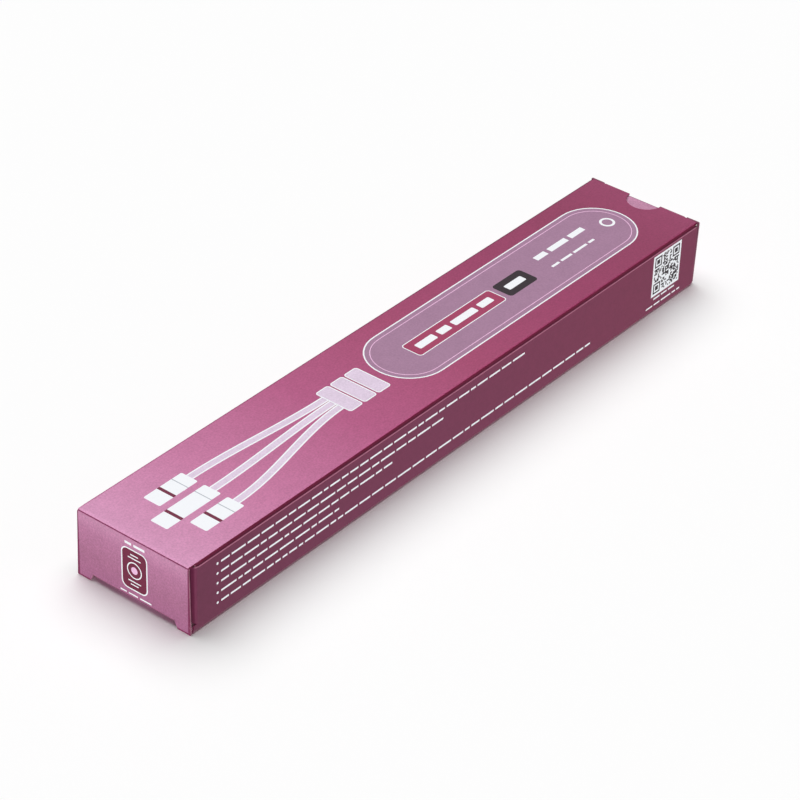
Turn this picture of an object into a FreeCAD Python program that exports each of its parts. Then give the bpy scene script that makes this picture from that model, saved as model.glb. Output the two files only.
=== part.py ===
"""Reverse tuck end folding carton: a long flat box folded from one sheet of board.

Frame: origin at the centre of the bottom, +X along the length to the rear end, +Y across,
+Z up. The sheet makes four panels joined by a glued side seam, four dust flaps and two
closures. The front closure is hinged on the top panel and tucks in over the bottom panel.
The rear closure is hinged on the bottom panel and tucks in under the top panel, so the two
ends are one shape turned half a turn about Y. Millimetres and degrees throughout.
"""

import math
import os

import FreeCAD, Part

Vector = FreeCAD.Vector

# Outside of the closed carton
LENGTH = 261.4
WIDTH = 46.0
HEIGHT = 24.8

# Board and creases
BOARD = 0.5
CREASE_RADIUS = 1.2
TUCK_CREASE_RADIUS = 1.0
HINGE_GAP = 0.02

# How far a cutting shape runs past what it cuts
PAST = 0.5

# Glued side seam: the flap hangs from the top panel, inside the front-facing side panel
GLUE_THICKNESS = 0.1
GLUE_FLAP_DEPTH = 13.0
GLUE_FLAP_END_GAP = 0.6
GLUE_FLAP_END_TAPER = 6.0
GLUE_STRIP_WIDTH = 7.0
GLUE_STRIP_END_GAP = 12.0
SEAM_EDGE_DROP = 1.35

# Dust flaps, folded in from both side panels at each end
DUST_CREASE_RADIUS = 0.8
DUST_REACH = 18.0
DUST_HINGE_SIDE_GAP = 0.6
DUST_TUCK_SIDE_GAP = 0.5
DUST_HINGE_SIDE_TAPER = 4.5
DUST_TUCK_SIDE_TAPER = 1.0
DUST_SHOULDER = 4.0
DUST_CORNER_RADIUS = 2.0

# Closures, which widen from the crease to the ears
CLOSURE_SHOULDER_RADIUS = 0.8
EAR_WIDTH = 6.4
EAR_SLANT = 1.1
EAR_CORNER_RADIUS = 0.3
EAR_TIP_RADIUS = 0.8
EAR_FREE_GAP = 0.3
SLIT_WIDTH = 0.3
TUCK_LENGTH = 12.0
TUCK_SIDE_GAP = 0.8
TUCK_TIP_RADIUS = 8.0
TUCK_SHOULDER_RADIUS = 1.0
TUCK_SHOULDER_GAP = 0.6

# The two ends differ in how far the tuck fold stops short of the panel that it passes,
# how far the ears pass that panel's outer face, where that panel's edge lies between the
# ears and beside them, and how far the dust flaps stand behind the closure
FRONT_FOLD_CLEARANCE = 1.4
FRONT_EAR_PAST = -0.1
FRONT_EDGE_INSET = 3.0
FRONT_SHOULDER_INSET = 3.0
FRONT_DUST_FACE_GAP = 1.9
REAR_FOLD_CLEARANCE = 0.1
REAR_EAR_PAST = 0.05
REAR_EDGE_INSET = 0.3
REAR_SHOULDER_INSET = 0.55
REAR_DUST_FACE_GAP = 0.2

# Corners of the panel that a tuck flap passes keep this much of their creases
SHOULDER_RISE = 0.7
SHOULDER_LENGTH = 2.0

# Thumb notch in the edge that a tuck flap passes
THUMB_RADIUS = 6.6
THUMB_DEPTH = 6.5

# Worked out from the sizes above
FRONT_X = -LENGTH / 2
SIDE_Y = WIDTH / 2
SEAM_Y = -SIDE_Y + BOARD + GLUE_THICKNESS
HINGE_WIDTH = -2 * SEAM_Y
FOLD_WIDTH = WIDTH - 2 * EAR_WIDTH
TUCK_WIDTH = WIDTH - 2 * (2 * BOARD + GLUE_THICKNESS + TUCK_SIDE_GAP)

ALONG_X = Vector(1, 0, 0)
ALONG_Y = Vector(0, 1, 0)
ALONG_Z = Vector(0, 0, 1)


def lines_and_arcs(points, radii):
    """Edges through the points, each inner point rounded by its radius, or sharp at 0."""
    edges = []
    start = points[0]
    for before, corner, after, radius in zip(points, points[1:], points[2:], radii):
        back = (before - corner).normalize()
        ahead = (after - corner).normalize()
        half_turn = (math.pi - back.getAngle(ahead)) / 2
        reach = radius * math.tan(half_turn)
        arc_start = corner + back * reach
        arc_end = corner + ahead * reach
        edges.append(Part.LineSegment(start, arc_start).toShape())
        if radius:
            depth = radius / math.cos(half_turn) - radius
            arc_middle = corner + (back + ahead).normalize() * depth
            edges.append(Part.Arc(arc_start, arc_middle, arc_end).toShape())
        start = arc_end
    edges.append(Part.LineSegment(start, points[-1]).toShape())
    return edges


def outline_face(corners, radii):
    """A flat face with the given corners, each rounded by its radius."""
    middle = (corners[0] + corners[-1]) * 0.5
    return Part.Face(Part.Wire(lines_and_arcs([middle, *corners, middle], radii)))


def folded_board_face(outer, normal, radius):
    """Section of a folded strip of board, which lies to the left of its outer path."""
    steps = [(end - start).normalize() for start, end in zip(outer, outer[1:])]
    sides = [normal.cross(step) for step in steps]
    inner = [outer[0] + sides[0] * BOARD]
    for corner, side, next_side in zip(outer[1:-1], sides, sides[1:]):
        inner.append(corner + (side + next_side) * (BOARD / (1 + side.dot(next_side))))
    inner.append(outer[-1] + sides[-1] * BOARD)
    bends = len(outer) - 2
    edges = lines_and_arcs(outer, [radius] * bends)
    edges.append(Part.LineSegment(outer[-1], inner[-1]).toShape())
    edges += lines_and_arcs(inner[::-1], [radius - BOARD] * bends)
    edges.append(Part.LineSegment(inner[0], outer[0]).toShape())
    return Part.Face(Part.Wire(edges))


def across(face, width):
    """A prism of the given width, centred on Y = 0, from a face in the XZ plane."""
    face = face.copy()
    face.translate(ALONG_Y * (-width / 2))
    return face.extrude(ALONG_Y * width)


def end_box(inset_from, inset_to, half_width, low, high):
    """A box at the front end, between two distances in from the carton's end."""
    corner = Vector(FRONT_X + inset_from, -half_width, low)
    return Part.makeBox(inset_to - inset_from, 2 * half_width, high - low, corner)


def turned_to_rear(shape):
    """The front end's shape turned half a turn about Y, which makes it the rear end's."""
    shape = shape.copy()
    shape.rotate(Vector(0, 0, HEIGHT / 2), ALONG_Y, 180)
    return shape


def crease_point(radius, angle):
    """A point of the closure's crease: 0 at the closure's face, 90 at the hinge panel's."""
    turn = math.radians(angle)
    centre = Vector(FRONT_X + CREASE_RADIUS, 0, HEIGHT - CREASE_RADIUS)
    return centre + Vector(-radius * math.cos(turn), 0, radius * math.sin(turn))


HINGE = crease_point(CREASE_RADIUS, 45)


class End:
    """The sizes in which one end of the carton differs from the other."""

    def __init__(self, fold_clearance, ear_past, insets, dust_face_gap, hinge_low_y):
        self.fold_clearance = fold_clearance
        self.ear_past = ear_past
        self.edge_inset, self.shoulder_inset = insets
        self.hinge_low_y = hinge_low_y
        self.dust_inset = BOARD + dust_face_gap
        self.tube_inset = self.dust_inset + DUST_CREASE_RADIUS


FRONT = End(
    FRONT_FOLD_CLEARANCE,
    FRONT_EAR_PAST,
    (FRONT_EDGE_INSET, FRONT_SHOULDER_INSET),
    FRONT_DUST_FACE_GAP,
    SEAM_Y,
)
REAR = End(
    REAR_FOLD_CLEARANCE,
    REAR_EAR_PAST,
    (REAR_EDGE_INSET, REAR_SHOULDER_INSET),
    REAR_DUST_FACE_GAP,
    -SIDE_Y,
)


class TuckFold:
    """Where a closure folds into its tuck flap, at the front end.

    The flap follows a circle about the hinge, so it leaves the carton without touching the
    panel that it passes. The clearance is from that panel's inner face.
    """

    def __init__(self, clearance):
        self.sweep = HINGE.z - BOARD - clearance
        across_x = TUCK_CREASE_RADIUS - (HINGE.x - FRONT_X)
        self.lean = math.asin(across_x / (self.sweep - TUCK_CREASE_RADIUS))
        drop = math.cos(self.lean) * (self.sweep - TUCK_CREASE_RADIUS)
        self.centre = Vector(FRONT_X + TUCK_CREASE_RADIUS, 0, HINGE.z - drop)
        self.tip = self.lean + TUCK_LENGTH / self.sweep

    def crease(self, radius, turn):
        """A point of the fold: turn 0 at the closure's face, 1 at the tuck flap's."""
        angle = turn * (math.pi / 2 + self.lean)
        return self.centre + Vector(-radius * math.cos(angle), 0, -radius * math.sin(angle))

    def flap(self, radius, share):
        """A point of the tuck flap, from the fold at share 0 to its tip at share 1."""
        angle = self.lean + share * (self.tip - self.lean)
        return HINGE + Vector(radius * math.sin(angle), 0, -radius * math.cos(angle))

    def section(self):
        """The fold and the tuck flap as a face in the XZ plane."""
        outer, inner = TUCK_CREASE_RADIUS, TUCK_CREASE_RADIUS - BOARD
        far, near = self.sweep, self.sweep - BOARD
        edges = [
            Part.Arc(self.crease(outer, 0), self.crease(outer, 0.5), self.crease(outer, 1)),
            Part.Arc(self.flap(far, 0), self.flap(far, 0.5), self.flap(far, 1)),
            Part.LineSegment(self.flap(far, 1), self.flap(near, 1)),
            Part.Arc(self.flap(near, 1), self.flap(near, 0.5), self.flap(near, 0)),
            Part.Arc(self.crease(inner, 1), self.crease(inner, 0.5), self.crease(inner, 0)),
            Part.LineSegment(self.crease(inner, 0), self.crease(outer, 0)),
        ]
        return Part.Face(Part.Wire([edge.toShape() for edge in edges]))


def closure_panel(fold, ear_past):
    """The end panel with its half of the crease, and an ear at each corner of the tuck."""
    inner_radius = CREASE_RADIUS - BOARD
    cut = 45 - math.degrees(HINGE_GAP / CREASE_RADIUS)
    foot = -ear_past
    outer_foot = Vector(FRONT_X, 0, foot)
    inner_foot = Vector(FRONT_X + BOARD, 0, foot)
    edges = [
        Part.Arc(
            crease_point(CREASE_RADIUS, cut),
            crease_point(CREASE_RADIUS, cut / 2),
            crease_point(CREASE_RADIUS, 0),
        ),
        Part.LineSegment(crease_point(CREASE_RADIUS, 0), outer_foot),
        Part.LineSegment(outer_foot, inner_foot),
        Part.LineSegment(inner_foot, crease_point(inner_radius, 0)),
        Part.Arc(
            crease_point(inner_radius, 0),
            crease_point(inner_radius, cut / 2),
            crease_point(inner_radius, cut),
        ),
        Part.LineSegment(crease_point(inner_radius, cut), crease_point(CREASE_RADIUS, cut)),
    ]
    section = Part.Face(Part.Wire([edge.toShape() for edge in edges]))

    x = FRONT_X - PAST
    slit_y = FOLD_WIDTH / 2
    tip_y = slit_y + EAR_SLANT
    half_outline = [
        (Vector(x, HINGE_WIDTH / 2, HEIGHT), CLOSURE_SHOULDER_RADIUS),
        (Vector(x, SIDE_Y, foot), EAR_CORNER_RADIUS),
        (Vector(x, tip_y, foot), EAR_TIP_RADIUS),
        (Vector(x, slit_y, fold.centre.z), 0),
    ]
    other_half = [(Vector(x, -point.y, point.z), radius) for point, radius in half_outline]
    corners, radii = zip(*half_outline, *reversed(other_half))
    outline = outline_face(corners, radii).extrude(ALONG_X * (2 * PAST + CREASE_RADIUS))
    return across(section, WIDTH).common(outline)


def tuck_flap(fold):
    """The fold between the ears and the tuck flap, which is wider behind the slits."""
    section = fold.section()
    middle = across(section, FOLD_WIDTH - 2 * SLIT_WIDTH)
    shoulder_x = FRONT_X + BOARD + TUCK_SHOULDER_GAP
    tip_x = fold.flap(fold.sweep, 1).x + PAST
    half = TUCK_WIDTH / 2
    plan = outline_face(
        [
            Vector(shoulder_x, -half, -HEIGHT),
            Vector(tip_x, -half, -HEIGHT),
            Vector(tip_x, half, -HEIGHT),
            Vector(shoulder_x, half, -HEIGHT),
        ],
        [TUCK_SHOULDER_RADIUS, TUCK_TIP_RADIUS, TUCK_TIP_RADIUS, TUCK_SHOULDER_RADIUS],
    ).extrude(ALONG_Z * 3 * HEIGHT)
    wide = across(section, TUCK_WIDTH).common(plan)
    tip_corners = end_box(TUCK_LENGTH / 2, 2 * TUCK_LENGTH, SIDE_Y, -HEIGHT, HEIGHT)
    middle = middle.cut(tip_corners)
    return middle.fuse(wide)


def closure(end):
    """One closure at the front end: panel, ears, fold and tuck flap in one folded piece."""
    fold = TuckFold(end.fold_clearance)
    return closure_panel(fold, end.ear_past).fuse(tuck_flap(fold)).removeSplitter()


def tube():
    """Four panels and the glue flap: one strip of board folded round the carton."""
    start_x = FRONT_X + FRONT.tube_inset
    path = [
        Vector(start_x, -SIDE_Y, HEIGHT - SEAM_EDGE_DROP),
        Vector(start_x, -SIDE_Y, 0),
        Vector(start_x, SIDE_Y, 0),
        Vector(start_x, SIDE_Y, HEIGHT),
        Vector(start_x, SEAM_Y, HEIGHT),
        Vector(start_x, SEAM_Y, HEIGHT - GLUE_FLAP_DEPTH),
    ]
    section = folded_board_face(path, ALONG_X, CREASE_RADIUS)
    walls = section.extrude(ALONG_X * (LENGTH - FRONT.tube_inset - REAR.tube_inset))
    for side, end in ((-1, FRONT), (1, REAR)):
        walls = walls.cut(glue_flap_end(side, end))
    return walls


def glue_flap_end(side, end):
    """What is trimmed off the glue flap at one end: -1 at the front, 1 at the rear."""
    end_x = side * (LENGTH / 2 - end.tube_inset)
    top = HEIGHT - CREASE_RADIUS
    foot = HEIGHT - GLUE_FLAP_DEPTH - PAST
    start_x = end_x - side * GLUE_FLAP_END_GAP
    slant_x = start_x - side * GLUE_FLAP_END_TAPER
    past_x = end_x + side * PAST
    outer_y = SEAM_Y - GLUE_THICKNESS / 2
    corners = [
        Vector(past_x, outer_y, top),
        Vector(start_x, outer_y, top),
        Vector(slant_x, outer_y, foot),
        Vector(past_x, outer_y, foot),
    ]
    return outline_face(corners, [0] * len(corners)).extrude(ALONG_Y * (BOARD + GLUE_THICKNESS))


def hinge_edge(end):
    """The hinge panel's half of the closure crease, which keeps the carton's round sides."""
    inner_radius = CREASE_RADIUS - BOARD
    join_x = FRONT_X + end.tube_inset + PAST
    edges = [
        Part.Arc(
            crease_point(CREASE_RADIUS, 45),
            crease_point(CREASE_RADIUS, 67.5),
            crease_point(CREASE_RADIUS, 90),
        ),
        Part.LineSegment(crease_point(CREASE_RADIUS, 90), Vector(join_x, 0, HEIGHT)),
        Part.LineSegment(Vector(join_x, 0, HEIGHT), Vector(join_x, 0, HEIGHT - BOARD)),
        Part.LineSegment(Vector(join_x, 0, HEIGHT - BOARD), crease_point(inner_radius, 90)),
        Part.Arc(
            crease_point(inner_radius, 90),
            crease_point(inner_radius, 67.5),
            crease_point(inner_radius, 45),
        ),
        Part.LineSegment(crease_point(inner_radius, 45), crease_point(CREASE_RADIUS, 45)),
    ]
    x = FRONT_X - PAST
    outline = outline_face(
        [
            Vector(x, SIDE_Y, HEIGHT / 2),
            Vector(x, SIDE_Y, HEIGHT),
            Vector(x, end.hinge_low_y, HEIGHT),
            Vector(x, end.hinge_low_y, HEIGHT / 2),
        ],
        [0, CREASE_RADIUS, CREASE_RADIUS, 0],
    ).extrude(ALONG_X * HEIGHT)
    edge_strip = across(Part.Face(Part.Wire([edge.toShape() for edge in edges])), HINGE_WIDTH)
    return edge_strip.common(outline)


def dust_flaps(end):
    """Both dust flaps of the front end, with the edge by the tuck cut back to clear it."""
    low = BOARD + end.fold_clearance + BOARD + DUST_TUCK_SIDE_GAP
    high = HEIGHT - BOARD - DUST_HINGE_SIDE_GAP
    root_x = FRONT_X + end.tube_inset + PAST
    face_x = FRONT_X + end.dust_inset
    outline_x = face_x - PAST
    hinge_y = SIDE_Y + PAST
    free_y = SIDE_Y - DUST_REACH
    section = folded_board_face(
        [Vector(face_x, free_y, low), Vector(face_x, SIDE_Y, low), Vector(root_x, SIDE_Y, low)],
        -ALONG_Z,
        DUST_CREASE_RADIUS,
    )
    shoulder_y = SIDE_Y - DUST_SHOULDER
    outline = outline_face(
        [
            Vector(outline_x, hinge_y, low),
            Vector(outline_x, hinge_y, high),
            Vector(outline_x, shoulder_y, high),
            Vector(outline_x, free_y, high - DUST_HINGE_SIDE_TAPER),
            Vector(outline_x, free_y, low + DUST_TUCK_SIDE_TAPER),
            Vector(outline_x, shoulder_y, low),
        ],
        [0, 0, 0, DUST_CORNER_RADIUS, DUST_CORNER_RADIUS, 0],
    ).extrude(ALONG_X * (DUST_CREASE_RADIUS + 2 * PAST))
    flap = section.extrude(ALONG_Z * (high - low)).common(outline)
    other = flap.mirror(Vector(0, 0, 0), ALONG_Y)
    return flap, other


def passed_edge(walls, end):
    """Set the end of the panel that the front tuck flap passes, and cut its thumb notch."""
    flat_half = SIDE_Y - CREASE_RADIUS
    deep = end.tube_inset + end.edge_inset + PAST
    if end.shoulder_inset < end.tube_inset:
        slice_end = end.tube_inset + SHOULDER_LENGTH
        corners = walls.common(end_box(end.tube_inset, slice_end, SIDE_Y, 0, SHOULDER_RISE))
        corners.translate(ALONG_X * (end.shoulder_inset - end.tube_inset))
        walls = walls.fuse(corners)
    else:
        walls = walls.cut(end_box(-PAST, end.shoulder_inset, flat_half, -PAST, BOARD))
    between_ears = FOLD_WIDTH / 2 + EAR_FREE_GAP
    walls = walls.fuse(end_box(end.edge_inset, deep, between_ears, 0, BOARD))
    centre = Vector(FRONT_X + end.edge_inset + THUMB_DEPTH - THUMB_RADIUS, 0, -PAST)
    return walls.cut(Part.makeCylinder(THUMB_RADIUS, BOARD + 2 * PAST, centre))


def carton_sleeve():
    """Everything that stays put: the tube, its dust flaps and its two hinge edges."""
    walls = passed_edge(tube(), FRONT)
    walls = walls.fuse([hinge_edge(FRONT), *dust_flaps(FRONT)])
    walls = turned_to_rear(walls)
    walls = passed_edge(walls, REAR)
    walls = walls.fuse([hinge_edge(REAR), *dust_flaps(REAR)])
    return turned_to_rear(walls).removeSplitter()


def seam_glue():
    """The strip of glue between the glue flap and the side panel."""
    length = LENGTH - 2 * GLUE_STRIP_END_GAP
    low = HEIGHT - GLUE_FLAP_DEPTH + (GLUE_FLAP_DEPTH - CREASE_RADIUS - GLUE_STRIP_WIDTH) / 2
    corner = Vector(-length / 2, -SIDE_Y + BOARD, low)
    return Part.makeBox(length, GLUE_THICKNESS, GLUE_STRIP_WIDTH, corner)


def main():
    """Build every node and write it to its own file."""
    nodes = {
        "carton_sleeve": carton_sleeve(),
        "seam_glue": seam_glue(),
        "front_closure_flap": closure(FRONT),
        "rear_closure_flap": turned_to_rear(closure(REAR)),
    }
    os.makedirs("parts", exist_ok=True)
    for name, shape in nodes.items():
        print(name, len(shape.Solids), shape.isValid(), round(shape.Volume, 1))
        shape.exportStep(f"parts/{name}.step")


main()
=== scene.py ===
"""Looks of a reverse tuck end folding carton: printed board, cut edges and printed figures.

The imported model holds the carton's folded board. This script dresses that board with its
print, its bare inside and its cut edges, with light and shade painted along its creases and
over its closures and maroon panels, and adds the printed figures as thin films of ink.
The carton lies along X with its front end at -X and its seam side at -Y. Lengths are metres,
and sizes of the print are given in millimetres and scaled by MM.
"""

import logging
import math
from dataclasses import dataclass, field
from enum import Enum
from typing import Iterable

import bmesh
import bpy
from bmesh.types import BMesh, BMVert
from bpy.types import ID, Material, Mesh, Node, NodeTree, Object, World
from bpy.types import NodeOutputs, NodeSocket as Socket
from mathutils import Matrix, Vector
from mathutils.bvhtree import BVHTree

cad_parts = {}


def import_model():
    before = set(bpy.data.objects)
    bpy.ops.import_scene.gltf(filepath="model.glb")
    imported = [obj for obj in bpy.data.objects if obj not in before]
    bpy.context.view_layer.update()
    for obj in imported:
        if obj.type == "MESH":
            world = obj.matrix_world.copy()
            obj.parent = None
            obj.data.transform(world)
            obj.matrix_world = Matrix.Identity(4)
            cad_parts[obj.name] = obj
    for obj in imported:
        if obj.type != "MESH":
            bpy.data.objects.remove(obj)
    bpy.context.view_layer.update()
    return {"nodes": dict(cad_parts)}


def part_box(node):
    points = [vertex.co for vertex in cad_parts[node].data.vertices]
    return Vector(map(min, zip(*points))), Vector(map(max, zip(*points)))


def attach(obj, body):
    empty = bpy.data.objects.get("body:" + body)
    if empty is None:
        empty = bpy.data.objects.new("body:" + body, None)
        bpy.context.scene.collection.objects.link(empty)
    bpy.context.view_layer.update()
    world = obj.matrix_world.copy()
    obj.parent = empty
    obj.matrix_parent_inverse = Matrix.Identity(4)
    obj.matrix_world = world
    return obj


LOG = logging.getLogger("carton")
MM = 0.001
BOARD = 0.5 * MM
SEAM_BAND = 1.34 * MM
FIRST_SEED = 100
SEED_STEP = 17
SOCKETS = {int: "NodeSocketInt", float: "NodeSocketFloat", tuple: "NodeSocketVector"}

Point2 = tuple[float, float]
Point3 = tuple[float, float, float]
Box2 = tuple[float, float, float, float]
Tone = tuple[int, int, int]
Value = Socket | float | tuple


def linear(tone: Tone) -> tuple[float, ...]:
    """Turn a display colour into the linear colour that shaders take.

    Args:
        tone: Red, green and blue, from 0 to 255.

    Returns:
        The linear colour with an alpha of 1.
    """
    parts = []
    for value in tone:
        share = value / 255
        parts.append(share / 12.92 if share <= 0.04045 else ((share + 0.055) / 1.055) ** 2.4)
    return (*parts, 1.0)


def cover(mesh: Mesh, *finishes: Material) -> None:
    """Give a mesh its finishes, in place of any that it had.

    Args:
        mesh: The mesh.
        *finishes: Its materials, in order.
    """
    mesh.materials.clear()
    for finish in finishes:
        mesh.materials.append(finish)


def place_in_scene(name: str, data: ID) -> Object:
    """Make an object and put it in the scene.

    Args:
        name: The object's name.
        data: Its mesh, camera or lamp.

    Returns:
        The object.
    """
    thing = bpy.data.objects.new(name, data)
    bpy.context.scene.collection.objects.link(thing)
    return thing


# ---- node tools ----


class NodeTool:
    """Adds and joins the nodes of one tree."""

    def __init__(self, tree: NodeTree) -> None:
        """Keep the tree and empty it."""
        self.tree = tree
        tree.nodes.clear()

    def add(self, kind: str, inputs: dict | tuple = (), **settings: object) -> Node:
        """Add a node.

        Args:
            kind: The node's type name.
            inputs: Values or sockets in the order of the inputs, or by name or number.
            **settings: Properties of the node.

        Returns:
            The new node.
        """
        node = self.tree.nodes.new(kind)
        for name, value in settings.items():
            setattr(node, name, value)
        for key, value in inputs.items() if isinstance(inputs, dict) else enumerate(inputs):
            if isinstance(value, Socket):
                self.tree.links.new(value, node.inputs[key])
            else:
                node.inputs[key].default_value = value
        return node

    def out(self, kind: str, inputs: dict | tuple = (), **settings: object) -> Socket:
        """Add a node and return its first output."""
        return self.add(kind, inputs, **settings).outputs[0]

    def math(self, operation: str, *values: Value) -> Socket:
        """Join values by one operation of the Math node and return its result."""
        return self.out("ShaderNodeMath", values, operation=operation)

    def vector(self, operation: str, *values: Value) -> Socket:
        """Join vectors by one operation of the Vector Math node and return its result."""
        return self.out("ShaderNodeVectorMath", values, operation=operation)

    def parts(self, vector: Socket) -> list[Socket]:
        """The three numbers of a vector."""
        return list(self.add("ShaderNodeSeparateXYZ", (vector,)).outputs)

    def open_group(self, inputs: dict, outputs: dict[str, str]) -> NodeOutputs:
        """Give the tree its own sockets.

        Args:
            inputs: Default value, or kind of socket where it has none, by input name.
            outputs: Kind of socket by output name.

        Returns:
            The sockets that hold what is given, by input name.
        """
        for label, value in inputs.items():
            kind = SOCKETS.get(type(value), value)
            socket = self.tree.interface.new_socket(label, in_out="INPUT", socket_type=kind)
            if kind != value:
                socket.default_value = value
        for label, kind in outputs.items():
            self.tree.interface.new_socket(label, in_out="OUTPUT", socket_type=kind)
        return self.add("NodeGroupInput").outputs


class Shader(NodeTool):
    """Adds and joins the nodes of one shader tree or shader group."""

    def place(self) -> Socket:
        """The object's own coordinates."""
        return self.add("ShaderNodeTexCoord").outputs["Object"]

    def noise(self, scale: Value, detail: float, roughness: float) -> Socket:
        """Noise over the object's own coordinates."""
        return self.out("ShaderNodeTexNoise", {
            "Vector": self.place(), "Scale": scale, "Detail": detail, "Roughness": roughness,
        })

    def spread(self, value: Value, *ends: float, curve: str = "LINEAR") -> Socket:
        """Map a value from its own first and last to another first and last."""
        return self.out("ShaderNodeMapRange", (value, *ends), interpolation_type=curve)

    def mix(self, factor: Value, first: Value, second: Value) -> Socket:
        """Mix two colours and return the result."""
        node = self.add("ShaderNodeMix", {0: factor, 6: first, 7: second}, data_type="RGBA")
        return node.outputs[2]

    def ramp(self, factor: Value, stops: Iterable[tuple[float, tuple]]) -> Socket:
        """Run a value through a colour ramp.

        Args:
            factor: The value.
            stops: Place and colour of each stop.

        Returns:
            The colour's socket.
        """
        node = self.add("ShaderNodeValToRGB", (factor,))
        elements = node.color_ramp.elements
        for index, (place, colour) in enumerate(stops):
            element = elements[index] if index < 2 else elements.new(place)
            element.position = place
            element.color = colour
        return node.outputs[0]


def shader_of(owner: Material | World) -> Shader:
    """Turn on the nodes of a material or a sky and return the tool that adds them."""
    owner.use_nodes = True
    return Shader(owner.node_tree)


class Groups:
    """The shader groups that several finishes share."""

    def __init__(self) -> None:
        """Build every group once."""
        self.grain = self.build_grain()
        self.crease = self.build_crease_shading()

    def build_grain(self) -> NodeTree:
        """Paper grain: fine speckle and soft mottle over a colour, and a height for bump.

        Returns:
            The group, with a Color and a Height output.
        """
        shader = Shader(bpy.data.node_groups.new("paper_grain", "ShaderNodeTree"))
        given = shader.open_group({
            "Color": "NodeSocketColor", "Speckle": 0.06, "Mottle": 0.04,
            "Speckles per metre": 1500.0,
        }, {"Color": "NodeSocketColor", "Height": "NodeSocketFloat"})
        fine = shader.noise(given["Speckles per metre"], 3.0, 0.7)
        wide = shader.noise(260.0, 4.0, 0.6)
        fine_part = shader.math("MULTIPLY", shader.math("SUBTRACT", fine, 0.5), given["Speckle"])
        wide_part = shader.math("MULTIPLY", shader.math("SUBTRACT", wide, 0.5), given["Mottle"])
        total = shader.math("MULTIPLY", shader.math("ADD", fine_part, wide_part), 4.0)
        toned = shader.vector("MULTIPLY", given["Color"], shader.math("ADD", total, 1.0))
        shader.add("NodeGroupOutput", {"Color": toned, "Height": fine})
        return shader.tree

    def build_crease_shading(self) -> NodeTree:
        """Painted shade along the creases of a box and rubbed, worn board beside them, from the
        distance to its edges.

        Returns:
            The group, with a Crease mask for the painted shade and a Rub mask for the wear.
        """
        shader = Shader(bpy.data.node_groups.new("crease_shading_and_rub", "ShaderNodeTree"))
        given = shader.open_group({
            "Centre": (0, 0, 0), "Half size": (1, 1, 1), "Width": 0.5 * MM,
        }, {"Crease": "NodeSocketFloat", "Rub": "NodeSocketFloat"})
        offset = shader.vector("SUBTRACT", shader.place(), given["Centre"])
        inside = shader.vector("SUBTRACT", given["Half size"], shader.vector("ABSOLUTE", offset))
        depth = shader.vector("MAXIMUM", inside, (0, 0, 0))
        first, second, third = shader.parts(depth)
        total, largest, least = (
            shader.math(kind, shader.math(kind, first, second), third)
            for kind in ("ADD", "MAXIMUM", "MINIMUM")
        )
        distance = shader.math("SUBTRACT", shader.math("SUBTRACT", total, largest), least)
        share = shader.math("DIVIDE", distance, given["Width"])
        # Painted shade: this mask is full along every edge of the box; the rub below is wear.
        crease = shader.spread(share, 0.85, 1.3, 1.0, 0.0, curve="SMOOTHSTEP")
        broken = shader.spread(shader.noise(700.0, 5.0, 0.75), 0.58, 0.72, 0.0, 1.0)
        near = shader.spread(share, 0.7, 1.2, 0.55, 0.0)
        rub = shader.math("MULTIPLY", broken, near)
        shader.add("NodeGroupOutput", {"Crease": crease, "Rub": rub})
        return shader.tree


# ---- finishes ----


@dataclass(frozen=True)
class PaperInk:
    """One even ink or bare paper, with the grain of the board under it."""

    name: str
    colour: Tone
    roughness: float = 0.5
    gloss: float = 0.2
    speckle: float = 0.12
    mottle: float = 0.05
    bump: float = 0.08

    def build(self, groups: Groups) -> Material:
        """Make the material.

        Args:
            groups: The shared shader groups.

        Returns:
            The material.
        """
        material = bpy.data.materials.new(self.name)
        shader = shader_of(material)
        grain = shader.add("ShaderNodeGroup", {
            "Color": self.tone(shader, groups), "Speckle": self.speckle, "Mottle": self.mottle,
        }, node_tree=groups.grain)
        bump = shader.out("ShaderNodeBump", {
            "Height": grain.outputs["Height"], "Strength": self.bump, "Distance": 0.05 * MM,
        })
        principled = shader.out("ShaderNodeBsdfPrincipled", {
            "Base Color": grain.outputs["Color"],
            "Roughness": self.roughness,
            "Specular IOR Level": self.gloss,
            "Normal": bump,
        })
        shader.add("ShaderNodeOutputMaterial", (principled,))
        return material

    def tone(self, shader: Shader, groups: Groups) -> tuple | Socket:
        """The colour under the grain."""
        return linear(self.colour)


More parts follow.
